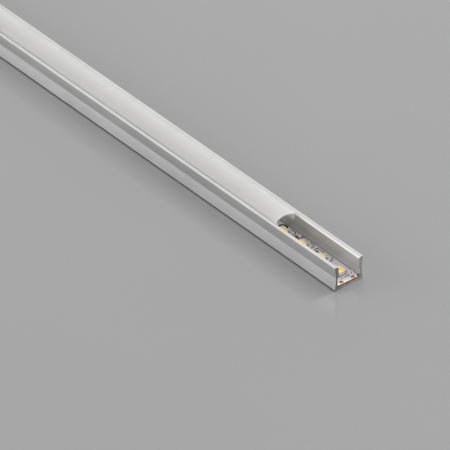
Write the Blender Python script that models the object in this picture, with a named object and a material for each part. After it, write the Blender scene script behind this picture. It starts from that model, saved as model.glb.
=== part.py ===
"""Aluminium profile for LED strip: a waisted U-shaped extrusion, the flexible LED strip on its floor
and the opal diffuser that snaps between its lips.

Metres, +Z up. +X runs along the profile towards its open end, where the diffuser is set back and the
strip shows. The origin is the middle of the underside.
"""

import math

import bmesh
import bpy
from mathutils import Matrix, Vector

MM = 0.001

# Profile: overall sizes of the extrusion
PROFILE_LENGTH = 300.0 * MM
PROFILE_WIDTH = 10.2 * MM
PROFILE_HEIGHT = 8.0 * MM
FLOOR_THICKNESS = 1.2 * MM

# Profile: the crease half way up each outer side
WAIST_HEIGHT = 4.2 * MM
WAIST_DEPTH = 0.45 * MM

# Profile: the lips, a flat land with a chamfer that leads the diffuser in
LIP_LAND = 0.85 * MM
LIP_CHAMFER_WIDTH = 0.6 * MM
LIP_CHAMFER_DROP = 0.46 * MM
LIP_NOSE_HEIGHT = 0.5 * MM
SNAP_UNDERCUT = 0.12 * MM

# Profile: the step above the slot that the strip lies in
SLOT_HEIGHT = 2.5 * MM
SLOT_STEP_RISE = 0.8 * MM

# Profile: corner radii
FOOT_RADIUS = 0.3 * MM
TOP_EDGE_RADIUS = 0.15 * MM
CREASE_RADIUS = 0.1 * MM
FLOOR_CORNER_RADIUS = 0.08 * MM

# Diffuser
DIFFUSER_SETBACK = 28.2 * MM
DIFFUSER_THICKNESS = 0.9 * MM
DIFFUSER_RISE = 1.35 * MM
DIFFUSER_OVERHANG = 0.25 * MM
DIFFUSER_SHOULDER = 0.15 * MM
DIFFUSER_EDGE_RADIUS = 0.18 * MM
LEG_THICKNESS = 0.66 * MM
LEG_REACH = 1.6 * MM
LEG_TIP = 0.2 * MM
BARB_DEPTH = 0.14 * MM
BARB_RISE = 0.17 * MM

# Strip
TAPE_WIDTH = 7.8 * MM
TAPE_THICKNESS = 0.15 * MM
BOARD_WIDTH = 8.0 * MM
BOARD_THICKNESS = 0.2 * MM
SEGMENT_LENGTH = 25.0 * MM
LEDS_PER_SEGMENT = 3
PAD_RADIUS = 0.75 * MM
PAD_HEIGHT = 0.05 * MM
PAD_INSET = 0.8 * MM
PAD_SPACING = 4.2 * MM

# LED package
LED_LENGTH = 3.5 * MM
LED_WIDTH = 2.8 * MM
LED_HEIGHT = 1.75 * MM
LED_DRAFT = 0.1 * MM
LED_SEAM_HEIGHT = 0.65 * MM
LED_UNDERCUT = 0.12 * MM
LED_CUP_RADIUS = 1.2 * MM
LED_CUP_TAPER = 0.12 * MM
LED_CUP_DEPTH = 0.15 * MM
LED_NOTCH = 0.55 * MM
TERMINAL_WIDTH = 2.2 * MM
TERMINAL_HEIGHT = 0.55 * MM
TERMINAL_PROUD = 0.08 * MM

# Chip resistor
RESISTOR_LENGTH = 2.0 * MM
RESISTOR_WIDTH = 1.25 * MM
RESISTOR_HEIGHT = 0.5 * MM
RESISTOR_CAP = 0.4 * MM
RESISTOR_CAP_PROUD = 0.03 * MM
RESISTOR_FROM_LED = 0.55 * MM
RESISTOR_OFFSET = 1.5 * MM
LEDS_BEFORE_RESISTOR = 2

# Clearances between pieces
STACK_GAP = 0.02 * MM
SLOT_CLEARANCE = 0.06 * MM
LEG_CLEARANCE = 0.08 * MM
SEAT_GAP = 0.05 * MM

# Facets
ARC_STEP = math.radians(15)
DIFFUSER_ARC_FACETS = 20
CUP_SIDES = 20
PAD_SIDES = 12
SHARP_ANGLE = math.radians(35)

# Worked out from the values above
TOP_HALF = PROFILE_WIDTH / 2
WAIST_HALF = TOP_HALF - WAIST_DEPTH
LAND_HALF = TOP_HALF - LIP_LAND
NOSE_HALF = LAND_HALF - LIP_CHAMFER_WIDTH
WALL_HALF = NOSE_HALF + SNAP_UNDERCUT
SLOT_HALF = BOARD_WIDTH / 2 + SLOT_CLEARANCE
CHAMFER_FOOT = PROFILE_HEIGHT - LIP_CHAMFER_DROP
NOSE_FOOT = CHAMFER_FOOT - LIP_NOSE_HEIGHT
SLOT_TOP = FLOOR_THICKNESS + SLOT_HEIGHT
NEAR_END = PROFILE_LENGTH / 2
FAR_END = -PROFILE_LENGTH / 2
TAPE_BOTTOM = FLOOR_THICKNESS + STACK_GAP
BOARD_BOTTOM = TAPE_BOTTOM + TAPE_THICKNESS + STACK_GAP
BOARD_TOP = BOARD_BOTTOM + BOARD_THICKNESS
CHIP_BOTTOM = BOARD_TOP + STACK_GAP
SEGMENTS = round(PROFILE_LENGTH / SEGMENT_LENGTH)
LED_PITCH = SEGMENT_LENGTH / LEDS_PER_SEGMENT


def clear_scene():
    for item in list(bpy.data.objects):
        bpy.data.objects.remove(item, do_unlink=True)


def new_collection(name):
    collection = bpy.data.collections.new(name)
    bpy.context.scene.collection.children.link(collection)
    return collection


def make_material(name, colour, roughness, metallic=0.0):
    material = bpy.data.materials.new(name)
    material.use_nodes = True
    shader = material.node_tree.nodes["Principled BSDF"]
    shader.inputs["Base Color"].default_value = (*colour, 1.0)
    shader.inputs["Roughness"].default_value = roughness
    shader.inputs["Metallic"].default_value = metallic
    return material


# Outlines in the section plane, as (y, z) points
def filleted(corners):
    """The closed outline through corners (y, z, radius), each rounded to its radius."""
    outline = []
    for index, (y, z, radius) in enumerate(corners):
        corner = Vector((y, z))
        before = (Vector(corners[index - 1][:2]) - corner).normalized()
        after = (Vector(corners[(index + 1) % len(corners)][:2]) - corner).normalized()
        opening = before.angle(after)
        turn = math.pi - opening
        if radius == 0 or turn < ARC_STEP / 2:
            outline.append(corner)
            continue
        centre = corner + (before + after).normalized() * radius / math.sin(opening / 2)
        first = corner + before * radius / math.tan(opening / 2) - centre
        last = corner + after * radius / math.tan(opening / 2) - centre
        turn = math.copysign(turn, first.cross(last))
        steps = max(2, round(abs(turn) / ARC_STEP))
        for step in range(steps + 1):
            outline.append(centre + Matrix.Rotation(turn * step / steps, 2) @ first)
    return outline


def mirrored(right_side):
    """A whole outline from its right side, listed from the bottom middle round to the top middle."""
    return right_side + [(-y, z, radius) for y, z, radius in reversed(right_side)]


def arc_height(y, half_width, edge, crown):
    """Height at y of the arc that rises from edge at both half widths to crown in the middle."""
    rise = crown - edge
    radius = (half_width ** 2 + rise ** 2) / (2 * rise)
    return crown - radius + math.sqrt(radius ** 2 - y ** 2)


def chamfer_height(y):
    """Height of the lip's lead-in chamfer at y, produced past its ends."""
    return PROFILE_HEIGHT - (LAND_HALF - y) * LIP_CHAMFER_DROP / LIP_CHAMFER_WIDTH


def extrude(name, outline, start, end, material, collection):
    """A solid of this section from x = start to x = end."""
    curve = bpy.data.curves.new(name, "CURVE")
    curve.dimensions = "2D"
    curve.fill_mode = "BOTH"
    curve.extrude = (end - start) / 2
    spline = curve.splines.new("POLY")
    spline.points.add(len(outline) - 1)
    for point, (y, z) in zip(spline.points, outline):
        point.co = (y, z, 0, 1)
    spline.use_cyclic_u = True
    curve.materials.append(material)
    section = add_object(name, curve, collection)
    solid = add_object(name, finished_mesh(section), collection, ((start + end) / 2, 0, 0))
    solid.rotation_euler = (math.pi / 2, 0, math.pi / 2)


# Solids from primitives
def block_mesh(name, size, centre, material):
    """A box of this size about this centre."""
    shape = bmesh.new()
    bmesh.ops.create_cube(shape, size=1.0)
    bmesh.ops.scale(shape, vec=size, verts=shape.verts)
    bmesh.ops.translate(shape, vec=centre, verts=shape.verts)
    mesh = bpy.data.meshes.new(name)
    shape.to_mesh(mesh)
    shape.free()
    mesh.materials.append(material)
    return mesh


def stacked_mesh(name, levels, material):
    """A solid through level rectangles, each given by its half length, half width and height."""
    shape = bmesh.new()
    corners = ((-1, -1), (1, -1), (1, 1), (-1, 1))
    loops = []
    for half_x, half_y, z in levels:
        loops.append([shape.verts.new((a * half_x, b * half_y, z)) for a, b in corners])
    for low, high in zip(loops, loops[1:]):
        for index in range(len(corners)):
            after = (index + 1) % len(corners)
            shape.faces.new((low[index], low[after], high[after], high[index]))
    shape.faces.new(loops[0][::-1])
    shape.faces.new(loops[-1])
    mesh = bpy.data.meshes.new(name)
    shape.to_mesh(mesh)
    shape.free()
    mesh.materials.append(material)
    return mesh


def discs_mesh(name, centres, low_radius, high_radius, height, sides, material):
    """Upright round slugs, one on each centre of its underside, in one mesh."""
    shape = bmesh.new()
    for centre in centres:
        made = bmesh.ops.create_cone(shape, cap_ends=True, segments=sides, radius1=low_radius,
                                     radius2=high_radius, depth=height)
        bmesh.ops.translate(shape, vec=Vector(centre) + Vector((0, 0, height / 2)), verts=made["verts"])
    mesh = bpy.data.meshes.new(name)
    shape.to_mesh(mesh)
    shape.free()
    mesh.materials.append(material)
    return mesh


def add_object(name, mesh, collection, location=(0, 0, 0)):
    item = bpy.data.objects.new(name, mesh)
    item.location = location
    collection.objects.link(item)
    return item


def add_tool(name, mesh, cutters):
    """A helper that a Boolean joins or cuts with."""
    tool = add_object(name, mesh, cutters)
    tool.hide_render = True
    tool.display_type = "WIRE"
    return tool


def combine(target, tool, operation):
    boolean = target.modifiers.new(tool.name, "BOOLEAN")
    boolean.operation = operation
    boolean.solver = "EXACT"
    boolean.material_mode = "TRANSFER"
    boolean.object = tool


def finished_mesh(target):
    """The target's mesh with its modifiers in it, smooth where it is round. The target is removed."""
    graph = bpy.context.evaluated_depsgraph_get()
    mesh = bpy.data.meshes.new_from_object(target.evaluated_get(graph))
    mesh.shade_smooth()
    mesh.set_sharp_from_angle(angle=SHARP_ANGLE)
    bpy.data.objects.remove(target, do_unlink=True)
    return mesh


# The extrusion
def channel_outline():
    right_side = [
        (TOP_HALF, 0, FOOT_RADIUS),
        (WAIST_HALF, WAIST_HEIGHT, CREASE_RADIUS),
        (TOP_HALF, PROFILE_HEIGHT, TOP_EDGE_RADIUS),
        (LAND_HALF, PROFILE_HEIGHT, CREASE_RADIUS),
        (NOSE_HALF, CHAMFER_FOOT, CREASE_RADIUS),
        (NOSE_HALF, NOSE_FOOT, 0),
        (WALL_HALF, NOSE_FOOT - SNAP_UNDERCUT, 0),
        (WALL_HALF, SLOT_TOP + SLOT_STEP_RISE, CREASE_RADIUS),
        (SLOT_HALF, SLOT_TOP, CREASE_RADIUS),
        (SLOT_HALF, FLOOR_THICKNESS, FLOOR_CORNER_RADIUS),
    ]
    return filleted(mirrored(right_side))


def make_channel(collection):
    aluminium = make_material("satin_aluminium", (0.8, 0.8, 0.79), 0.45, 1.0)
    extrude("aluminium_channel", channel_outline(), FAR_END, NEAR_END, aluminium, collection)


# The diffuser: a shallow arch whose flanges seat on the lip chamfers and whose barbed legs grip below them
def diffuser_outline():
    neck = NOSE_HALF - LEG_CLEARANCE
    flange = NOSE_HALF + DIFFUSER_OVERHANG
    shoulder = PROFILE_HEIGHT + DIFFUSER_SHOULDER
    crown = PROFILE_HEIGHT + DIFFUSER_RISE
    leg_inner = neck - LEG_THICKNESS
    barb = neck + BARB_DEPTH
    barb_top = NOSE_FOOT - SEAT_GAP
    tip_height = CHAMFER_FOOT - LEG_REACH
    springing = arc_height(leg_inner, flange, shoulder, crown) - DIFFUSER_THICKNESS

    half = DIFFUSER_ARC_FACETS // 2
    outer = [flange * step / half for step in range(1, half)]
    inner = [leg_inner * step / half for step in range(1, half)]
    inside = [(y, arc_height(y, leg_inner, springing, crown - DIFFUSER_THICKNESS), 0) for y in inner]
    outside = [(y, arc_height(y, flange, shoulder, crown), 0) for y in reversed(outer)]
    leg = [
        (leg_inner, springing, 0),
        (leg_inner, tip_height, 0),
        (leg_inner + LEG_TIP, tip_height, 0),
        (barb, barb_top - BARB_RISE, 0),
        (neck, barb_top, 0),
        (neck, chamfer_height(neck) + SEAT_GAP, 0),
        (flange, chamfer_height(flange) + SEAT_GAP, 0),
        (flange, shoulder, DIFFUSER_EDGE_RADIUS),
    ]
    top_middle = [(0, crown, 0)]
    under_middle = [(0, crown - DIFFUSER_THICKNESS, 0)]
    right_side = inside + leg + outside
    left_side = [(-y, z, radius) for y, z, radius in reversed(right_side)]
    return filleted(under_middle + right_side + top_middle + left_side)


def make_diffuser(collection):
    opal = make_material("opal_plastic", (0.8, 0.8, 0.79), 0.45)
    extrude("opal_diffuser", diffuser_outline(), FAR_END, NEAR_END - DIFFUSER_SETBACK, opal, collection)


# The strip's two layers
def make_tape(collection):
    adhesive = make_material("adhesive_tape", (0.11, 0.055, 0.036), 0.6)
    size = (PROFILE_LENGTH, TAPE_WIDTH, TAPE_THICKNESS)
    centre = (0, 0, TAPE_BOTTOM + TAPE_THICKNESS / 2)
    add_object("adhesive_tape", block_mesh("adhesive_tape", size, centre, adhesive), collection)


def pad_centres():
    """A pair of solder pads at the near end of each segment."""
    centres = []
    for segment in range(SEGMENTS):
        x = NEAR_END - segment * SEGMENT_LENGTH - PAD_INSET
        for side in (-1, 1):
            centres.append((x, side * PAD_SPACING / 2, BOARD_TOP - BOARD_THICKNESS / 2))
    return centres


def make_board(collection, cutters):
    white = make_material("white_board", (0.82, 0.82, 0.81), 0.5)
    copper = make_material("copper_pads", (0.72, 0.32, 0.16), 0.35, 1.0)
    size = (PROFILE_LENGTH, BOARD_WIDTH, BOARD_THICKNESS)
    centre = (0, 0, BOARD_BOTTOM + BOARD_THICKNESS / 2)
    bare = add_object("bare_board", block_mesh("flexible_board", size, centre, white), collection)
    bare.data.materials.append(copper)
    pads = discs_mesh("solder_pads", pad_centres(), PAD_RADIUS, PAD_RADIUS,
                      BOARD_THICKNESS / 2 + PAD_HEIGHT, PAD_SIDES, copper)
    combine(bare, add_tool("solder_pads", pads, cutters), "UNION")
    add_object("flexible_board", finished_mesh(bare), collection)


# The components on the strip
def led_mesh(collection, cutters):
    """One LED package about the middle of its underside, with its notch at +X, +Y."""
    plastic = make_material("led_package", (0.86, 0.83, 0.8), 0.45)
    phosphor = make_material("led_phosphor", (0.9, 0.62, 0.05), 0.3)
    tin = make_material("tinned_terminal", (0.7, 0.69, 0.67), 0.3, 1.0)
    levels = ((LED_UNDERCUT, 0), (0, LED_SEAM_HEIGHT), (LED_DRAFT, LED_HEIGHT))
    loops = [(LED_LENGTH / 2 - taper, LED_WIDTH / 2 - taper, z) for taper, z in levels]
    body = add_object("led", stacked_mesh("led", loops, plastic), collection)
    for material in (phosphor, tin):
        body.data.materials.append(material)

    terminal_size = (LED_LENGTH + 2 * TERMINAL_PROUD, TERMINAL_WIDTH, TERMINAL_HEIGHT)
    terminals = block_mesh("led_terminals", terminal_size, (0, 0, TERMINAL_HEIGHT / 2), tin)
    combine(body, add_tool("led_terminals", terminals, cutters), "UNION")

    cup = discs_mesh("led_cup", [(0, 0, LED_HEIGHT - LED_CUP_DEPTH)], LED_CUP_RADIUS - LED_CUP_TAPER,
                     LED_CUP_RADIUS + LED_CUP_TAPER, 2 * LED_CUP_DEPTH, CUP_SIDES, phosphor)
    combine(body, add_tool("led_cup", cup, cutters), "DIFFERENCE")

    notch_side = 2 * LED_NOTCH
    notch = add_tool("led_notch", block_mesh("led_notch", (notch_side,) * 3, (0, 0, 0), plastic), cutters)
    notch.location = (LED_LENGTH / 2, LED_WIDTH / 2, LED_HEIGHT)
    notch.rotation_euler.z = math.pi / 4
    combine(body, notch, "DIFFERENCE")
    return finished_mesh(body)


def resistor_mesh(collection, cutters):
    """One chip resistor about the middle of its underside, lying along X."""
    black = make_material("resistor_body", (0.03, 0.03, 0.035), 0.4)
    tin = make_material("resistor_caps", (0.7, 0.69, 0.67), 0.3, 1.0)
    size = (RESISTOR_LENGTH, RESISTOR_WIDTH, RESISTOR_HEIGHT)
    body_mesh = block_mesh("resistor", size, (0, 0, RESISTOR_HEIGHT / 2), black)
    body_mesh.materials.append(tin)
    body = add_object("resistor", body_mesh, collection)
    cap_size = (RESISTOR_CAP, RESISTOR_WIDTH + 2 * RESISTOR_CAP_PROUD, RESISTOR_HEIGHT + RESISTOR_CAP_PROUD)
    for name, side in (("resistor_cap_near", 1), ("resistor_cap_far", -1)):
        centre = (side * (RESISTOR_LENGTH - RESISTOR_CAP) / 2 + side * RESISTOR_CAP_PROUD, 0, cap_size[2] / 2)
        combine(body, add_tool(name, block_mesh(name, cap_size, centre, tin), cutters), "UNION")
    return finished_mesh(body)


def make_components(collection, cutters):
    led = led_mesh(collection, cutters)
    resistor = resistor_mesh(collection, cutters)
    for index in range(SEGMENTS * LEDS_PER_SEGMENT):
        x = NEAR_END - (index + 0.5) * LED_PITCH
        add_object(f"led_{index + 1:02d}", led, collection, (x, 0, CHIP_BOTTOM))
    led_reach = LED_LENGTH / 2 + TERMINAL_PROUD
    resistor_reach = RESISTOR_LENGTH / 2 + RESISTOR_CAP_PROUD
    for index in range(SEGMENTS):
        led_before = NEAR_END - index * SEGMENT_LENGTH - (LEDS_BEFORE_RESISTOR - 0.5) * LED_PITCH
        x = led_before - led_reach - RESISTOR_FROM_LED - resistor_reach
        add_object(f"resistor_{index + 1:02d}", resistor, collection, (x, RESISTOR_OFFSET, CHIP_BOTTOM))


def main():
    clear_scene()
    collection = new_collection("led_strip_profile")
    cutters = new_collection("cutters")
    make_channel(collection)
    make_diffuser(collection)
    make_tape(collection)
    make_board(collection, cutters)
    make_components(collection, cutters)


main()
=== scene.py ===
"""Looks for the LED strip aluminium profile: satin channel, opal diffuser and a dressed LED strip."""

import math

import bmesh
import bpy
from mathutils import Matrix, Vector
from mathutils.geometry import tessellate_polygon


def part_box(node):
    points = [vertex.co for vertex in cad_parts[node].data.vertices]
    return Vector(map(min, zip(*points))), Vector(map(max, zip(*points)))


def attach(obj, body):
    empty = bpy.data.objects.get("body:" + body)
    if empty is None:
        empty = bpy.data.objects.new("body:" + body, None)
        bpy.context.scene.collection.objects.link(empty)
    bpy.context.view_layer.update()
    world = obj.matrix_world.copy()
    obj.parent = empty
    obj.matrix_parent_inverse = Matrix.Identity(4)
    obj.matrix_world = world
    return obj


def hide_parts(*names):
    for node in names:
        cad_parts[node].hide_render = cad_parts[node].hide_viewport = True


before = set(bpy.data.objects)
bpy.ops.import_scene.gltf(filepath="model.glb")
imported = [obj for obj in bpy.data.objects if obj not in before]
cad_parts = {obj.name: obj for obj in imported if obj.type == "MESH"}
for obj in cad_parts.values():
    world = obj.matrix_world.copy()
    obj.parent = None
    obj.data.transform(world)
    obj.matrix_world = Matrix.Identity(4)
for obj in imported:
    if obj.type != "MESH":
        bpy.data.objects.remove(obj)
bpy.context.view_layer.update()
scene = bpy.context.scene
MM = 0.001

# Places, from the frame
channel_low, channel_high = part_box("aluminium_channel")
cover_low, cover_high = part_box("opal_diffuser")
board_low, board_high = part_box("flexible_board")
FAR_END, NEAR_END = channel_low.x, channel_high.x
COVER_FAR, COVER_NEAR = cover_low.x, cover_high.x

# The strip's pattern, and its pads in millimetres
SEGMENT = 25.0 * MM
LEDS_PER_SEGMENT = 3
PITCH = SEGMENT / LEDS_PER_SEGMENT
SEGMENTS = round((board_high.x - board_low.x) / SEGMENT)
PAD_RADIUS, PAD_HEIGHT, PAD_INSET, PAD_SPACING = 0.75, 0.05, 0.8, 4.2
BOARD_TOP = board_high.z - PAD_HEIGHT * MM

# The channel's section, in millimetres
HALF_WIDTH = 5.1
HEIGHT = 8.0
WAIST_HALF_WIDTH, WAIST_HEIGHT = 4.65, 4.2
FLOOR_TOP = 1.2
SLOT_WALL, SLOT_TOP = 4.06, 3.7
INNER_WALL, STEP_TOP = 3.77, 4.5
LIP_EDGE, LIP_NOSE = 4.25, 3.65
NOSE_TOP, NOSE_FOOT = 7.54, 7.04

# The diffuser's section, in millimetres
NECK = 3.57
FLANGE = 3.9
SHOULDER, CROWN = 8.15, 9.35
COVER_THICKNESS = 0.9
LEG_THICKNESS = 0.66
LEG_FOOT = NOSE_TOP - 1.6
LEG_FOOT_WIDTH = 0.2
BARB_TOP, BARB_REACH, BARB_DEPTH = NOSE_FOOT - 0.05, 0.14, 0.17
FLANGE_GAP = 0.02

# The LED package, in millimetres
LED_HALF_LENGTH, LED_HALF_WIDTH, LED_TOP = 1.75, 1.4, 1.75
NOTCH_LEG, NOTCH_FLOOR = 0.78, 1.2


# Node helpers
def material(name):
    made = bpy.data.materials.new(name)
    made.use_nodes = True
    return made, made.node_tree, made.node_tree.nodes["Principled BSDF"]


def node(tree, kind, links=None, **values):
    """A new node. values set its properties or its unlinked inputs, links joins its inputs to sockets."""
    made = tree.nodes.new(kind)
    for key, value in values.items():
        if hasattr(made, key):
            setattr(made, key, value)
        else:
            made.inputs[key.replace("_", " ")].default_value = value
    for key, socket in (links or {}).items():
        tree.links.new(socket, made.inputs[key])
    return made


def scaled(tree, scale):
    """Object coordinates times scale, in features per metre."""
    place = node(tree, "ShaderNodeTexCoord")
    mapping = node(tree, "ShaderNodeMapping", {"Vector": place.outputs["Object"]})
    mapping.inputs["Scale"].default_value = scale
    return mapping.outputs["Vector"]


def noise(tree, scale, detail=3.0, roughness=0.5):
    return node(tree, "ShaderNodeTexNoise", {"Vector": scaled(tree, scale)},
                Scale=1.0, Detail=detail, Roughness=roughness).outputs["Fac"]


def ramp(tree, source, low, high, from_low=0.3, from_high=0.7):
    """source taken from one range of numbers to another."""
    return node(tree, "ShaderNodeMapRange", {"Value": source},
                From_Min=from_low, From_Max=from_high, To_Min=low, To_Max=high).outputs["Result"]


def colours(tree, source, *stops):
    """A colour ramp on source, with stops (position, (r, g, b))."""
    made = node(tree, "ShaderNodeValToRGB", {"Fac": source})
    elements = made.color_ramp.elements
    while len(elements) < len(stops):
        elements.new(0.5)
    for element, (position, colour) in zip(elements, stops):
        element.position = position
        element.color = (*colour, 1.0)
    return made.outputs["Color"]


def mixed(tree, *shares):
    """The sum of (source, share) pairs."""
    total = None
    for source, share in shares:
        part = node(tree, "ShaderNodeMath", {0: source}, operation="MULTIPLY")
        part.inputs[1].default_value = share
        part = part.outputs[0]
        if total is None:
            total = part
        else:
            total = node(tree, "ShaderNodeMath", {0: total, 1: part}, operation="ADD").outputs[0]
    return total


def shaded(tree, colour, shade):
    """colour times shade, a number at each point."""
    return node(tree, "ShaderNodeVectorMath", {0: colour, 1: shade}, operation="MULTIPLY").outputs[0]


def bump(tree, shader, height, strength, distance):
    made = node(tree, "ShaderNodeBump", {"Height": height}, Strength=strength, Distance=distance)
    tree.links.new(made.outputs["Normal"], shader.inputs["Normal"])


def settings(shader, **values):
    """Sets inputs that are the same all over the surface."""
    for key, value in values.items():
        shader.inputs[key.replace("_", " ")].default_value = value


# Materials
def satin_aluminium():
    """Anodised metal, drawn along X, with painted shade at its foot outside and in the corner by the
    board.
    """
    made, tree, shader = material("satin_anodised_aluminium")
    drawn = noise(tree, (9.0, 3400.0, 3400.0), 4.0, 0.6)
    bands = noise(tree, (2.0, 420.0, 420.0), 2.0)
    cloud = noise(tree, (60.0, 110.0, 110.0), 2.0)
    etch = noise(tree, (9000.0, 9000.0, 9000.0), 2.0)
    tone = mixed(tree, (drawn, 0.3), (bands, 0.3), (cloud, 0.4))
    metal = colours(tree, tone, (0.36, (0.68, 0.68, 0.678)), (0.64, (0.775, 0.775, 0.77)))

    spot = node(tree, "ShaderNodeSeparateXYZ", {"Vector": scaled(tree, (1.0, 1.0, 1.0))})
    across = node(tree, "ShaderNodeMath", {0: spot.outputs["Y"]}, operation="ABSOLUTE").outputs[0]
    # painted shade: black below 0.5 mm at the outer foot, and darker on the inner walls just above the
    # board
    foot_painted_shade = ramp(tree, spot.outputs["Z"], 0.0, 1.0, 0.32 * MM, 0.5 * MM)
    above_board = ramp(tree, spot.outputs["Z"], 0.0, 1.0, 1.65 * MM, 1.79 * MM)
    outside = ramp(tree, across, 0.2, 1.0, 4.2 * MM, 4.3 * MM)
    crevice_painted_shade = node(tree, "ShaderNodeMath", {0: above_board, 1: outside}, operation="MAXIMUM").outputs[0]
    shade = node(tree, "ShaderNodeMath", {0: foot_painted_shade, 1: crevice_painted_shade}, operation="MULTIPLY").outputs[0]

    tree.links.new(shaded(tree, metal, shade), shader.inputs["Base Color"])
    tree.links.new(ramp(tree, tone, 0.41, 0.50), shader.inputs["Roughness"])
    settings(shader, Metallic=1.0)
    bump(tree, shader, mixed(tree, (drawn, 0.7), (etch, 0.3)), 0.12, 0.00004)
    return made


def sawn_aluminium(name, dark, bright):
    """A sawn cut: broken strokes that lean across it, and a fine grain, with painted shading that darkens
    it towards -Y and lightens it towards +Y.
    """
    made, tree, shader = material(name)
    across = node(tree, "ShaderNodeSeparateXYZ", {"Vector": scaled(tree, (1.0, 1.0, 1.0))}).outputs["Y"]
    strokes = node(tree, "ShaderNodeTexWave", {"Vector": scaled(tree, (1.0, 1.0, -0.6))},
                   wave_type="BANDS", bands_direction="DIAGONAL", Scale=1150.0, Distortion=5.0,
                   Detail=4.0, Detail_Scale=1.8).outputs["Fac"]
    grain = noise(tree, (3000.0, 3000.0, 3000.0), 4.0)
    tone = mixed(tree, (strokes, 0.45), (grain, 0.55))
    metal = colours(tree, tone, (0.3, dark), (0.7, bright))
    # painted shading across the cut: darker towards -Y, lighter towards +Y
    shade = ramp(tree, across, 0.68, 1.12, -4.4 * MM, -2.5 * MM)
    tree.links.new(shaded(tree, metal, shade), shader.inputs["Base Color"])
    tree.links.new(ramp(tree, tone, 0.38, 0.55), shader.inputs["Roughness"])
    settings(shader, Metallic=1.0)
    bump(tree, shader, tone, 0.25, 0.00004)
    return made


def opal_plastic(name, painted_glow):
    """Opal plastic. painted_glow is painted light: an emission, the same under any lamps, that stands in
    for the light from above that it lets through to this side.
    """
    made, tree, shader = material(name)
    cloud = noise(tree, (40.0, 160.0, 160.0), 3.0)
    drawn = noise(tree, (6.0, 1500.0, 1500.0), 2.0)
    grain = noise(tree, (5200.0, 5200.0, 5200.0), 2.0)
    tone = mixed(tree, (cloud, 0.6), (drawn, 0.2), (grain, 0.2))
    plastic = colours(tree, tone, (0.35, (0.724, 0.732, 0.738)), (0.65, (0.764, 0.772, 0.778)))
    tree.links.new(plastic, shader.inputs["Base Color"])
    tree.links.new(ramp(tree, tone, 0.50, 0.58), shader.inputs["Roughness"])
    settings(shader, Specular_IOR_Level=0.3, IOR=1.49,
             Subsurface_Weight=1.0, Subsurface_Radius=(1.0, 1.0, 1.0), Subsurface_Scale=0.009,
             Emission_Color=(1.0, 1.0, 1.0, 1.0), Emission_Strength=painted_glow)
    bump(tree, shader, mixed(tree, (grain, 0.5), (drawn, 0.5)), 0.06, 0.00003)
    return made


def solder_mask():
    """White mask over copper tracks that stand out a little."""
    made, tree, shader = material("white_solder_mask")
    cloud = noise(tree, (500.0, 500.0, 500.0), 3.0)
    tracks = node(tree, "ShaderNodeTexBrick", {"Vector": scaled(tree, (1.0, 1.0, 1.0))},
                  offset=0.35, Scale=1.0, Mortar_Size=0.00012, Mortar_Smooth=0.4,
                  Brick_Width=0.0079, Row_Height=0.0026)
    tone = mixed(tree, (cloud, 0.8), (tracks.outputs["Fac"], -0.25))
    white = colours(tree, tone, (0.15, (0.86, 0.85, 0.84)), (0.6, (0.95, 0.945, 0.94)))
    tree.links.new(white, shader.inputs["Base Color"])
    tree.links.new(ramp(tree, cloud, 0.34, 0.5), shader.inputs["Roughness"])
    bump(tree, shader, tone, 0.35, 0.00003)
    return made


def plain(name, low, high, roughness, metallic=0.0, grain=4000.0, coat=0.0, painted_glow=0.0, specular=0.5):
    """A material whose colour and roughness vary between two values with a fine grain."""
    made, tree, shader = material(name)
    tone = noise(tree, (grain, grain, grain), 4.0, 0.6)
    tree.links.new(colours(tree, tone, (0.3, low), (0.7, high)), shader.inputs["Base Color"])
    tree.links.new(ramp(tree, tone, roughness - 0.06, roughness + 0.06), shader.inputs["Roughness"])
    settings(shader, Metallic=metallic, Coat_Weight=coat, Specular_IOR_Level=specular,
             Emission_Color=(*high, 1.0), Emission_Strength=painted_glow)
    bump(tree, shader, tone, 0.2, 0.00002)
    return made


def matt(name, low, high, grain=4000.0):
    """A dark matt material that hardly shines."""
    return plain(name, low, high, 0.7, grain=grain, specular=0.1)


ALUMINIUM = satin_aluminium()
SAWN = sawn_aluminium("sawn_aluminium", (0.27, 0.26, 0.26), (0.63, 0.62, 0.62))
# the cut ends' rim: painted shade along the walls, and a painted highlight at the bottom
SAWN_RIM_SHADE = sawn_aluminium("sawn_aluminium_rim", (0.22, 0.21, 0.205), (0.40, 0.39, 0.38))
SAWN_PAINTED_HIGHLIGHT = sawn_aluminium("sawn_aluminium_burr", (0.80, 0.80, 0.80), (0.95, 0.95, 0.95))
OPAL = opal_plastic("opal_plastic", 0.0)
# the cut end, underside and legs of the diffuser give off painted light, an emission that stands in for
# light passing through it
OPAL_CUT_PAINTED_LIGHT = opal_plastic("opal_cut_end", 0.09)
OPAL_UNDER_PAINTED_LIGHT = opal_plastic("opal_underside", 0.27)
OPAL_LEG_PAINTED_LIGHT = opal_plastic("opal_leg", 0.08)
MASK = solder_mask()
COPPER = plain("copper_pad", (0.76, 0.27, 0.10), (0.92, 0.38, 0.15), 0.38, 0.5)
# a darker copy of the copper, painted shade on the pads past the first segment
COPPER_PAINTED_SHADE = plain("copper_pad_dull", (0.36, 0.10, 0.045), (0.50, 0.16, 0.07), 0.45, 0.3)
# the hole's dish is painted dark, painted shade for the hole's depth
PAD_HOLE_SHADE = plain("pad_hole", (0.20, 0.05, 0.025), (0.30, 0.08, 0.04), 0.5, specular=0.2)
CUT_EDGE = matt("board_cut_edge", (0.022, 0.009, 0.007), (0.13, 0.038, 0.022), 5000.0)
INK = matt("print_ink", (0.012, 0.012, 0.013), (0.03, 0.03, 0.031))
LINE = matt("cut_line", (0.03, 0.015, 0.014), (0.07, 0.035, 0.03))
TAPE = matt("tape_adhesive", (0.012, 0.006, 0.005), (0.04, 0.017, 0.012), 5000.0)
PACKAGE = plain("led_housing", (0.88, 0.83, 0.78), (0.96, 0.91, 0.86), 0.42, grain=2500.0)
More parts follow.
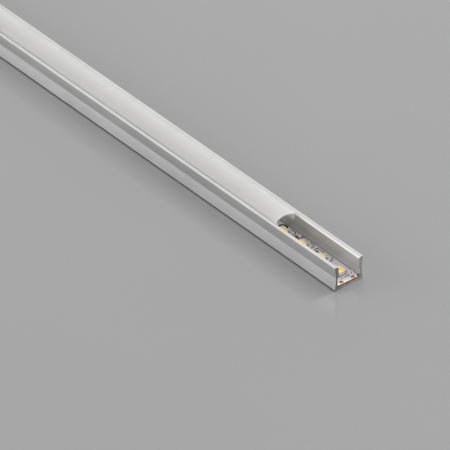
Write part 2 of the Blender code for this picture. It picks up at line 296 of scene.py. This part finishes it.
# the housing's sides, painted darker than its top as painted shade
WALLS_PAINTED_SHADE = plain("led_housing_sides", (0.54, 0.50, 0.49), (0.64, 0.60, 0.585), 0.5, grain=2500.0)
CORNER = plain("led_cut_corner", (0.10, 0.09, 0.085), (0.18, 0.165, 0.16), 0.6, grain=2500.0,
               specular=0.2)
# the seam's recess, painted near black as painted shade
SEAM_PAINTED_SHADE = matt("led_seam", (0.012, 0.01, 0.009), (0.035, 0.03, 0.028), 2500.0)
# the gel gives off painted light, an emission that stands in for the phosphor's fluorescence
PHOSPHOR = plain("led_gel", (0.98, 0.54, 0.012), (1.0, 0.64, 0.04), 0.3, grain=9000.0, coat=0.25,
                 painted_glow=0.33, specular=0.3)
TIN = plain("tinned_metal", (0.62, 0.60, 0.58), (0.80, 0.78, 0.76), 0.45, 0.4)
SOLDER = plain("solder", (0.50, 0.50, 0.50), (0.68, 0.68, 0.67), 0.28, 1.0, grain=2500.0)
COAT_BLACK = plain("resistor_coat", (0.11, 0.09, 0.078), (0.19, 0.155, 0.135), 0.5)
CERAMIC = plain("resistor_ceramic", (0.36, 0.33, 0.30), (0.48, 0.45, 0.42), 0.5)


# Shapes
def piece(name, shape, materials, body, location=(0, 0, 0), smooth=40):
    """A mesh piece from a bmesh, shaded smooth below the angle, riding on a body."""
    bmesh.ops.recalc_face_normals(shape, faces=shape.faces)
    mesh = bpy.data.meshes.new(name)
    shape.to_mesh(mesh)
    shape.free()
    for entry in materials:
        mesh.materials.append(entry)
    mesh.shade_smooth()
    mesh.set_sharp_from_angle(angle=math.radians(smooth))
    return placed(name, mesh, body, location)


def placed(name, mesh, body, location=(0, 0, 0)):
    item = bpy.data.objects.new(name, mesh)
    item.location = location
    scene.collection.objects.link(item)
    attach(item, body)
    return item


def rounded(corners, step=11.25):
    """A closed outline through corners (a, b, radius), each rounded to its radius."""
    outline = []
    for index, (a, b, radius) in enumerate(corners):
        corner = Vector((a, b))
        before = (Vector(corners[index - 1][:2]) - corner).normalized()
        after = (Vector(corners[(index + 1) % len(corners)][:2]) - corner).normalized()
        opening = before.angle(after)
        turn = math.pi - opening
        if radius == 0 or turn < math.radians(4):
            outline.append(corner)
            continue
        centre = corner + (before + after).normalized() * radius / math.sin(opening / 2)
        first = corner + before * radius / math.tan(opening / 2) - centre
        last = corner + after * radius / math.tan(opening / 2) - centre
        turn = math.copysign(turn, first.cross(last))
        steps = max(3, round(abs(math.degrees(turn)) / step))
        for k in range(steps + 1):
            outline.append(centre + Matrix.Rotation(turn * k / steps, 2) @ first)
    return outline


def mirrored(right_side):
    """Corners (y, z, radius) in metres of a symmetrical section, from its right half in millimetres."""
    corners = right_side + [(-y, z, radius) for y, z, radius in reversed(right_side) if y]
    return [(y * MM, z * MM, radius * MM) for y, z, radius in corners]


def inset(outline, depth):
    """The outline moved inwards by depth."""
    area = sum(p.cross(q) for p, q in zip(outline, outline[1:] + outline[:1]))
    side = 1 if area > 0 else -1
    moved = []
    for index, point in enumerate(outline):
        back = (point - outline[index - 1]).normalized()
        ahead = (outline[(index + 1) % len(outline)] - point).normalized()
        along = back + ahead
        along = along.normalized() if along.length > 1e-6 else ahead
        normal = Vector((-along.y, along.x)) * side
        slant = max(0.5, normal.dot(Vector((-ahead.y, ahead.x)) * side))
        moved.append(point + normal * depth / slant)
    return moved


def circle(radius, sides):
    return [(radius * math.cos(2 * math.pi * k / sides), radius * math.sin(2 * math.pi * k / sides))
            for k in range(sides)]


def cap(shape, ring, index=0):
    shape.faces.new(ring).material_index = index


def bridge(shape, first, second, index=0):
    """Faces between two rings of as many points."""
    count = len(first)
    for k in range(count):
        cap(shape, (first[k], first[(k + 1) % count], second[(k + 1) % count], second[k]), index)


def prism(outline, start, end, edge, stations):
    """An extrusion along X of a (y, z) outline, with its end edges broken by a small chamfer.
    Material 1 is on the cut ends."""
    shape = bmesh.new()
    inner = inset(outline, edge)

    def ring(points, x):
        return [shape.verts.new((x, y, z)) for y, z in points]

    places = [start + edge + (end - start - 2 * edge) * k / stations for k in range(stations + 1)]
    rings = [ring(inner, start)] + [ring(outline, x) for x in places] + [ring(inner, end)]
    for first, second in zip(rings, rings[1:]):
        bridge(shape, first, second)
    for last in (rings[0], rings[-1]):
        cap(shape, last, 1)
    return shape


def box(shape, size, centre, index=0, edge=0.0):
    """A block with rounded edges."""
    corners = bmesh.ops.create_cube(shape, size=1.0)["verts"]
    bmesh.ops.scale(shape, vec=size, verts=corners)
    bmesh.ops.translate(shape, vec=centre, verts=corners)
    faces = {face for corner in corners for face in corner.link_faces}
    edges = {line for corner in corners for line in corner.link_edges}
    for face in faces:
        face.material_index = index
    bmesh.ops.bevel(shape, geom=list(edges), offset=edge, segments=2, profile=0.5, affect="EDGES",
                    material=index)


def turned(shape, centre, profile, sides, indices, lean):
    """A round form about Z at centre. profile is (radius, height) from outside in, ending on the axis.
    The smaller a ring is, the more it moves by lean (x, y)."""
    rings = []
    for radius, height in profile[:-1]:
        moved = 1 - radius / profile[0][0]
        x, y, z = centre[0] + lean[0] * moved, centre[1] + lean[1] * moved, centre[2] + height
        rings.append([shape.verts.new((x + a, y + b, z)) for a, b in circle(radius, sides)])
    for first, second, index in zip(rings, rings[1:], indices):
        bridge(shape, first, second, index)
    cap(shape, rings[0], indices[0])
    cap(shape, rings[-1], indices[-1])


def wedge(shape, x, side, width, reach, height, base, index, steps=5):
    """A concave solder fillet that climbs from the board to height at x, on the given side along X."""
    profile = [(0.0, 0.0), (reach, 0.0)]
    for k in range(1, steps + 1):
        angle = math.pi / 2 * k / steps
        profile.append((reach * (1 - math.sin(angle)), height * (1 - math.cos(angle))))
    outer, inner = width / 2 + 0.08 * MM, width / 2 - 0.1 * MM
    rows = [[shape.verts.new((x + side * a * share, y, base + b * share)) for a, b in profile]
            for share, y in ((0.55, -outer), (1.0, -inner), (1.0, inner), (0.55, outer))]
    for first, second in zip(rows, rows[1:]):
        bridge(shape, first, second, index)
    for last in (rows[0], rows[-1]):
        cap(shape, last, index)


# Channel and diffuser
def channel_outline(sharp=False):
    right_side = [
        (HALF_WIDTH, 0.0, 0.3), (WAIST_HALF_WIDTH, WAIST_HEIGHT, 0.12), (HALF_WIDTH, HEIGHT, 0.15),
        (LIP_EDGE, HEIGHT, 0.1), (LIP_NOSE, NOSE_TOP, 0.1), (LIP_NOSE, NOSE_FOOT, 0.05),
        (INNER_WALL, NOSE_FOOT - 0.12, 0.05), (INNER_WALL, STEP_TOP, 0.1), (SLOT_WALL, SLOT_TOP, 0.1),
        (SLOT_WALL, FLOOR_TOP, 0.08),
    ]
    return rounded([(y, z, 0 if sharp else radius) for y, z, radius in mirrored(right_side)])


def channel_shape():
    """The extrusion. Its cut ends have a rim: painted shade along the walls and a painted highlight under
    the floor.
    """
    cut, rim, painted_highlight = 1, 2, 3
    shape = prism(channel_outline(), FAR_END, NEAR_END, 0.03 * MM, 12)
    inner = inset(channel_outline(sharp=True), 0.13 * MM)
    for end in [face for face in shape.faces if face.material_index == cut]:
        outer = list(end.verts)
        x = outer[0].co.x
        shape.faces.remove(end)
        loop = [shape.verts.new((x, y, z)) for y, z in inner]
        corners = outer + loop
        for triangle in tessellate_polygon([[vert.co for vert in outer], [vert.co for vert in loop]]):
            face = shape.faces.new([corners[k] for k in triangle])
            middle = face.calc_center_median()
            # rim faces: painted shade above the floor, a painted highlight at the bottom
            face.material_index = rim if middle.z > 1.25 * MM else painted_highlight if middle.z < 0.2 * MM else cut
        cap(shape, loop, cut)
    return shape


def arc_height(y, half_width, edge, crown):
    """The height at y of an arc that rises from edge at half_width to crown at 0."""
    rise = crown - edge
    radius = (half_width ** 2 + rise ** 2) / (2 * rise)
    return crown - radius + math.sqrt(radius ** 2 - y ** 2)


def lip_height(y):
    """The height of the lip's chamfer at y."""
    return HEIGHT - (LIP_EDGE - y) * (HEIGHT - NOSE_TOP) / (LIP_EDGE - LIP_NOSE)


def cover_outline(steps=18):
    leg_inner = NECK - LEG_THICKNESS
    under_crown = CROWN - COVER_THICKNESS
    springing = arc_height(leg_inner, FLANGE, SHOULDER, CROWN) - COVER_THICKNESS
    shares = [k / steps for k in range(1, steps)]
    right_side = [(0, under_crown, 0)]
    right_side += [(leg_inner * share,
                    arc_height(leg_inner * share, leg_inner, springing, under_crown), 0)
                   for share in shares]
    right_side += [
        (leg_inner, springing, 0.12), (leg_inner, LEG_FOOT, 0.06),
        (leg_inner + LEG_FOOT_WIDTH, LEG_FOOT, 0.06),
        (NECK + BARB_REACH, BARB_TOP - BARB_DEPTH, 0.04), (NECK, BARB_TOP, 0.04),
        (NECK, lip_height(NECK) + FLANGE_GAP, 0.04), (FLANGE, lip_height(FLANGE) + FLANGE_GAP, 0.05),
        (FLANGE, SHOULDER, 0.18),
    ]
    right_side += [(FLANGE * share, arc_height(FLANGE * share, FLANGE, SHOULDER, CROWN), 0)
                   for share in reversed(shares)]
    return rounded(mirrored(right_side + [(0, CROWN, 0)]))


def cover_shape():
    """The diffuser. The faces that look inwards have the materials of its underside and of its legs,
    which carry painted light.
    """
    top, under, leg = 0, 2, 3
    inside_height = 6.0 * MM
    shape = prism(cover_outline(), COVER_FAR, COVER_NEAR, 0.02 * MM, 12)
    shape.normal_update()
    bmesh.ops.recalc_face_normals(shape, faces=shape.faces)
    for face in shape.faces:
        middle = face.calc_center_median()
        outwards = face.normal.y * middle.y + face.normal.z * (middle.z - inside_height)
        if face.material_index == top and outwards < 0:
            face.material_index = under if middle.z > 7.7 * MM else leg
    return shape


channel = piece("channel_extrusion", channel_shape(), [ALUMINIUM, SAWN, SAWN_RIM_SHADE, SAWN_PAINTED_HIGHLIGHT], "profile",
                smooth=30)
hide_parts("aluminium_channel")
cover = piece("diffuser_cover", cover_shape(), [OPAL, OPAL_CUT_PAINTED_LIGHT, OPAL_UNDER_PAINTED_LIGHT, OPAL_LEG_PAINTED_LIGHT], "diffuser",
              smooth=30)
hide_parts("opal_diffuser")
for tape_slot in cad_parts["adhesive_tape"].material_slots:
    tape_slot.material = TAPE


# Board
def strip_board():
    """The board, and at each segment's near end a pair of pads with a hole that lies off their middle.
    The hole is a dish painted dark as painted shade, and past the first segment the pads are a darker
    copper as painted shade.
    """
    cut_edge, copper, hole, painted_shade = 1, 2, 3, 4
    shape = bmesh.new()
    size = (board_high.x - board_low.x, board_high.y - board_low.y, BOARD_TOP - board_low.z)
    box(shape, size, (0, 0, (BOARD_TOP + board_low.z) / 2), edge=0.02 * MM)
    for face in shape.faces:
        if abs(face.normal.x) > 0.9:
            face.material_index = cut_edge
    radii_and_heights = [(PAD_RADIUS, -0.03), (PAD_RADIUS, 0.03), (0.71, PAD_HEIGHT), (0.31, PAD_HEIGHT),
                         (0.26, 0.025), (0.21, 0.012), (0, 0)]
    pad = [(radius * MM, height * MM) for radius, height in radii_and_heights]
    for segment in range(SEGMENTS):
        x = NEAR_END - segment * SEGMENT - PAD_INSET * MM
        # past the first segment the pads are painted darker, painted shade
        metal = painted_shade if segment else copper
        for y in (-PAD_SPACING / 2 * MM, PAD_SPACING / 2 * MM):
            turned(shape, (x, y, BOARD_TOP), pad, 28, [metal] * 3 + [hole] * 3, (-0.25 * MM, 0.2 * MM))
    return shape


board = piece("strip_board", strip_board(), [MASK, CUT_EDGE, COPPER, PAD_HOLE_SHADE, COPPER_PAINTED_SHADE], "profile",
              smooth=35)
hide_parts("flexible_board")


# Print
INK_FOOT, INK_TOP = BOARD_TOP - 0.002 * MM, BOARD_TOP + 0.008 * MM


def stroke(shape, points, width, index=0):
    """A printed line of this width through points (x, y), standing a hair above the board."""
    path = [Vector(p) for p in points]
    sections = []
    for k, point in enumerate(path):
        before = path[k - 1] if k else point
        after = path[k + 1] if k < len(path) - 1 else point
        ahead = (after - point).normalized() if after != point else (point - before).normalized()
        back = (point - before).normalized() if before != point else ahead
        along = (ahead + back).normalized()
        across = Vector((-along.y, along.x))
        reach = across * width / 2 / max(0.5, across.dot(Vector((-ahead.y, ahead.x))))
        left, right = point + reach, point - reach
        sections.append([shape.verts.new((p.x, p.y, z)) for p, z in
                         ((left, INK_TOP), (right, INK_TOP), (right, INK_FOOT), (left, INK_FOOT))])
    for first, second in zip(sections, sections[1:]):
        bridge(shape, first, second, index)
    for last in (sections[0], sections[-1]):
        cap(shape, last, index)


def dot(shape, x, y, radius, sides=16):
    rings = [[shape.verts.new((x + a, y + b, z)) for a, b in circle(radius, sides)]
             for z in (INK_FOOT, INK_TOP)]
    bridge(shape, *rings)
    for ring in rings:
        cap(shape, ring)


def arc(x, y, radius, start, end, steps=16):
    """Points on an arc about (x, y), between two angles in degrees."""
    angles = [math.radians(start + (end - start) * k / steps) for k in range(steps + 1)]
    return [(x + radius * math.cos(angle), y + radius * math.sin(angle)) for angle in angles]


# Dashes across the board, between the pads and the first LED: points in millimetres, and width.
DASHES = (([(-2.4, 2.1), (-2.1, 1.9)], 0.28), ([(-2.35, 1.6), (-1.7, 1.1)], 0.38),
          ([(-2.45, 0.5), (-1.75, 0.25)], 0.34), ([(-2.45, -0.2), (-1.85, -0.4)], 0.28),
          ([(-2.4, -0.6), (-1.8, -1.05)], 0.36), ([(-2.2, -1.3), (-1.95, -1.5)], 0.24))


def board_print():
    """Generic marks: brackets by the LEDs, dashes, dots, arcs on every second segment, cut lines."""
    ink, cut_line = 0, 1
    shape = bmesh.new()

    def line(x, points, width, index=ink):
        """points and width are in millimetres, and points lie about x."""
        stroke(shape, [(x + a * MM, b * MM) for a, b in points], width * MM, index)

    def lines(x, points, width):
        """The same line on both sides of the board's middle."""
        for side in (1, -1):
            line(x, [(a, side * b) for a, b in points], width)

    def dots(x, a, b, radius):
        for side in (1, -1):
            dot(shape, x + a * MM, side * b * MM, radius * MM)

    for segment in range(SEGMENTS):
        near = NEAR_END - segment * SEGMENT
        first, second, third = [near - (k + 0.5) * PITCH for k in range(LEDS_PER_SEGMENT)]
        if segment:
            lines(first, [(-0.43, 3.5), (1.57, 3.5), (2.1, 2.9), (2.15, 1.9)], 0.26)
            lines(near, [(0.52, 3.85), (0.52, 2.3)], 0.44)
            dots(near, 0.48, 2.05, 0.34)
            lines(near, [(0.75, 3.75), (2.0, 3.75)], 0.12)
            lines(near, [(2.3, 3.6), (3.1, 2.9)], 0.14)
            line(near, [(0, -3.95), (0, 3.95)], 0.14, cut_line)
        else:
            lines(first, [(-0.3, 3.45), (0.2, 3.45)], 0.14)
            lines(first, [(1.2, 3.4), (1.95, 2.85)], 0.18)
            line(near, [(-0.9, 3.74), (-0.42, 3.7), (-0.27, 3.3)], 0.46)
        lines(second, [(-5.2, 1.9), (-5.25, 3.3), (-2.8, 3.35), (-2.2, 2.95)], 0.25)
        lines(second, [(-0.8, 3.4), (-1.1, 2.8)], 0.14)
        lines(second, [(-0.5, 3.4), (0.0, 3.4)], 0.2)
        lines(second, [(0.5, 3.4), (1.2, 3.38), (1.9, 2.8), (2.0, 2.5)], 0.25)
        lines(second, [(1.95, 2.35), (2.05, 1.65)], 0.46)
        lines(third, [(-0.4, 3.5), (1.1, 3.45), (1.75, 3.0), (1.95, 1.8)], 0.24)
        dots(near, -1.7, 3.45, 0.19)
        if segment % 2:
            lines(near, arc(-6.85, 2.2, 1.3, 195, 35), 0.6)
            dots(near, -8.0, 2.05, 0.4)
        for points, width in DASHES:
            line(near, points, width)
    return shape


piece("board_print", board_print(), [INK, LINE], "profile", smooth=20)


# LEDs and resistors
def ring_points(half_x, half_y, radius, notch=0.0, corner_steps=5, edge_steps=6):
    """A rounded rectangle, anticlockwise from +X. notch cuts the corner at +X, +Y."""
    corners = []
    for x_side, y_side, start in ((1, 1, 0), (-1, 1, 90), (-1, -1, 180), (1, -1, 270)):
        if notch and x_side > 0 and y_side > 0:
            first, last = Vector((half_x, half_y - notch)), Vector((half_x - notch, half_y))
            corners.append([first.lerp(last, k / corner_steps) for k in range(corner_steps + 1)])
            continue
        centre = Vector((x_side * (half_x - radius), y_side * (half_y - radius)))
        angles = [math.radians(start + 90 * k / corner_steps) for k in range(corner_steps + 1)]
        corners.append([centre + Vector((math.cos(angle), math.sin(angle))) * radius for angle in angles])
    ring = []
    for index, corner in enumerate(corners):
        ring += corner
        after = corners[(index + 1) % 4][0]
        ring += [corner[-1].lerp(after, k / edge_steps) for k in range(1, edge_steps)]
    return ring


def led_package():
    """A moulded body with a seam, a corner notch, a gel-filled cup and tinned, soldered terminals. Its
    sides and the seam's recess are painted darker as painted shade.
    """
    housing, gel, tin, solder, seam, walls, dark = range(7)
    shape = bmesh.new()

    def section(shrink, z, radius=0.12, notched=False):
        notch = NOTCH_LEG - 2 * shrink if notched else 0.0
        points = ring_points((LED_HALF_LENGTH - shrink) * MM, (LED_HALF_WIDTH - shrink) * MM, radius * MM,
                             notch * MM)
        return [shape.verts.new((p.x, p.y, z * MM)) for p in points]

    # the sides and the seam's recess carry painted shade
    # each ring, and the material of the faces that lead up to it
    body = [(section(0.12, 0.0), None), (section(0.115, 0.05), walls), (section(0.03, 0.46), walls),
            (section(0.035, 0.5), walls), (section(0.07, 0.52), seam), (section(0.07, 0.73), seam),
            (section(0.0, 0.78, 0.25), seam), (section(0.0, 0.8, 0.25), walls),
            (section(0.045, NOTCH_FLOOR, 0.25), walls),
            (section(0.05, NOTCH_FLOOR + 0.02, 0.25, True), walls),
            (section(0.085, 1.66, 0.25, True), walls), (section(0.105, 1.725, 0.23, True), walls),
            (section(0.15, LED_TOP, 0.2, True), housing)]
    cap(shape, body[0][0], housing)
    for (below, _), (above, index) in zip(body, body[1:]):
        bridge(shape, below, above, index)

    # the notch's floor and the corner under it are dark
    for face in shape.faces:
        middle = face.calc_center_median() / MM
        corner = 2.3 if middle.z > NOTCH_FLOOR else 2.78
        if 0.7 < middle.z < NOTCH_FLOOR + 0.02 and middle.x + middle.y > corner:
            face.material_index = dark

    ring = body[-1][0]
    angles = [math.atan2(vert.co.y, vert.co.x) for vert in ring]
    for radius, z, index in ((1.235, LED_TOP, housing), (1.225, 1.735, housing), (1.2, 1.69, housing),
                             (1.1, 1.66, housing), (1.06, 1.655, gel), (0.6, 1.65, gel),
                             (0.25, 1.648, gel)):
        inner = [shape.verts.new((radius * MM * math.cos(angle), radius * MM * math.sin(angle), z * MM))
                 for angle in angles]
        bridge(shape, ring, inner, index)
        ring = inner
    cap(shape, ring, gel)

    for side in (1, -1):
        box(shape, (0.3 * MM, 2.2 * MM, 0.55 * MM), (side * 1.68 * MM, 0, 0.275 * MM), tin, 0.05 * MM)
        wedge(shape, side * 1.82 * MM, side, 2.1 * MM, 0.12 * MM, 0.3 * MM, -0.018 * MM, solder)
    return shape


def chip_resistor():
    """A ceramic chip with a dark coat and tinned, soldered end caps."""
    ceramic, coat, tin, solder = range(4)
    shape = bmesh.new()
    box(shape, (1.9 * MM, 1.25 * MM, 0.42 * MM), (0, 0, 0.21 * MM), ceramic, 0.02 * MM)
    box(shape, (1.24 * MM, 1.15 * MM, 0.08 * MM), (0, 0, 0.46 * MM), coat, 0.03 * MM)
    for side in (1, -1):
        box(shape, (0.4 * MM, 1.31 * MM, 0.53 * MM), (side * 0.83 * MM, 0, 0.265 * MM), tin, 0.05 * MM)
        wedge(shape, side * 1.02 * MM, side, 1.2 * MM, 0.3 * MM, 0.33 * MM, -0.018 * MM, solder)
    return shape


def components(prefix, build, materials, label):
    """One mesh, on the place of each node whose name starts with prefix."""
    shared = None
    for name in sorted(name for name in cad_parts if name.startswith(prefix)):
        low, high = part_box(name)
        spot = ((low.x + high.x) / 2, (low.y + high.y) / 2, low.z)
        if shared is None:
            item = piece(name + label, build(), materials, "profile", spot)
            shared = item.data
        else:
            item = placed(name + label, shared, "profile", spot)
        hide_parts(name)


components("led_", led_package, [PACKAGE, PHOSPHOR, TIN, SOLDER, SEAM_PAINTED_SHADE, WALLS_PAINTED_SHADE, CORNER], "_package")
components("resistor_", chip_resistor, [CERAMIC, COAT_BLACK, TIN, SOLDER], "_chip")


# Floor, light and camera
def floor():
    bpy.ops.mesh.primitive_plane_add(size=8.0, location=(0, 0, -0.00001))
    plane = bpy.context.object
    plane.name = "floor"
    made, tree, shader = material("pale_floor")
    grain = noise(tree, (1400.0, 1400.0, 1400.0), 3.0, 0.6)
    cloud = noise(tree, (14.0, 14.0, 14.0), 2.0)
    tone = mixed(tree, (grain, 0.75), (cloud, 0.25))
    grey = colours(tree, tone, (0.3, (0.311, 0.311, 0.311)), (0.7, (0.336, 0.336, 0.336)))
    tree.links.new(grey, shader.inputs["Base Color"])
    tree.links.new(ramp(tree, tone, 0.15, 0.21), shader.inputs["Roughness"])
    bump(tree, shader, grain, 0.02, 0.00005)
    plane.data.materials.append(made)


def studio():
    """A world that is bright at the horizon and dim overhead."""
    world = bpy.data.worlds.new("studio")
    world.use_nodes = True
    scene.world = world
    tree = world.node_tree
    background = tree.nodes["Background"]
    sky = node(tree, "ShaderNodeTexCoord")
    height = node(tree, "ShaderNodeSeparateXYZ", {"Vector": sky.outputs["Generated"]})
    shade = colours(tree, height.outputs["Z"], (0.0, (1.62, 1.62, 1.623)), (1.0, (0.25, 0.25, 0.251)))
    tree.links.new(shade, background.inputs["Color"])
    background.inputs["Strength"].default_value = 1.0


def towards(azimuth, elevation):
    """The direction from the origin at these angles in degrees. Azimuth 0 is -Y and 90 is +X."""
    a, e = math.radians(azimuth), math.radians(elevation)
    return Vector((math.sin(a) * math.cos(e), -math.cos(a) * math.cos(e), math.sin(e)))


def softbox(name, azimuth, elevation, width, height, energy, distance=2.0):
    """A rectangular lamp in this direction, facing the origin."""
    lamp = bpy.data.lights.new(name, "AREA")
    lamp.shape = "RECTANGLE"
    lamp.size, lamp.size_y = width, height
    lamp.energy = energy
    item = bpy.data.objects.new(name, lamp)
    scene.collection.objects.link(item)
    direction = towards(azimuth, elevation)
    item.location = direction * distance
    item.rotation_euler = direction.to_track_quat("Z", "Y").to_euler()


def photo_camera():
    """The camera that was fitted to the photograph, looking at the channel's near end."""
    azimuth, elevation = 50.907, 34.758
    distance, shift_right, shift_up = 2.2698, -0.03464, 0.01689
    focal_pixels, picture_pixels = 8112.0, 450
    back = towards(azimuth, elevation)
    right = Vector((math.cos(math.radians(azimuth)), math.sin(math.radians(azimuth)), 0))
    up = back.cross(right)
    lens = bpy.data.cameras.new("camera")
    lens.sensor_width = 36.0
    lens.lens = focal_pixels / picture_pixels * lens.sensor_width
    lens.clip_end = 50.0
    camera = bpy.data.objects.new("camera", lens)
    scene.collection.objects.link(camera)
    place = Vector((NEAR_END, 0, 0)) + back * distance + right * shift_right + up * shift_up
    camera.matrix_world = Matrix.Translation(place) @ Matrix((right, up, back)).transposed().to_4x4()
    scene.camera = camera


floor()
studio()
softbox("key", 172, 46, 0.55, 0.5, 14.6)
softbox("back", 140, 50, 0.5, 0.5, 3.8)
softbox("fill", -45, 22, 1.8, 0.8, 10.5)
photo_camera()
scene.view_settings.view_transform = "Standard"

bpy.context.view_layer.update()
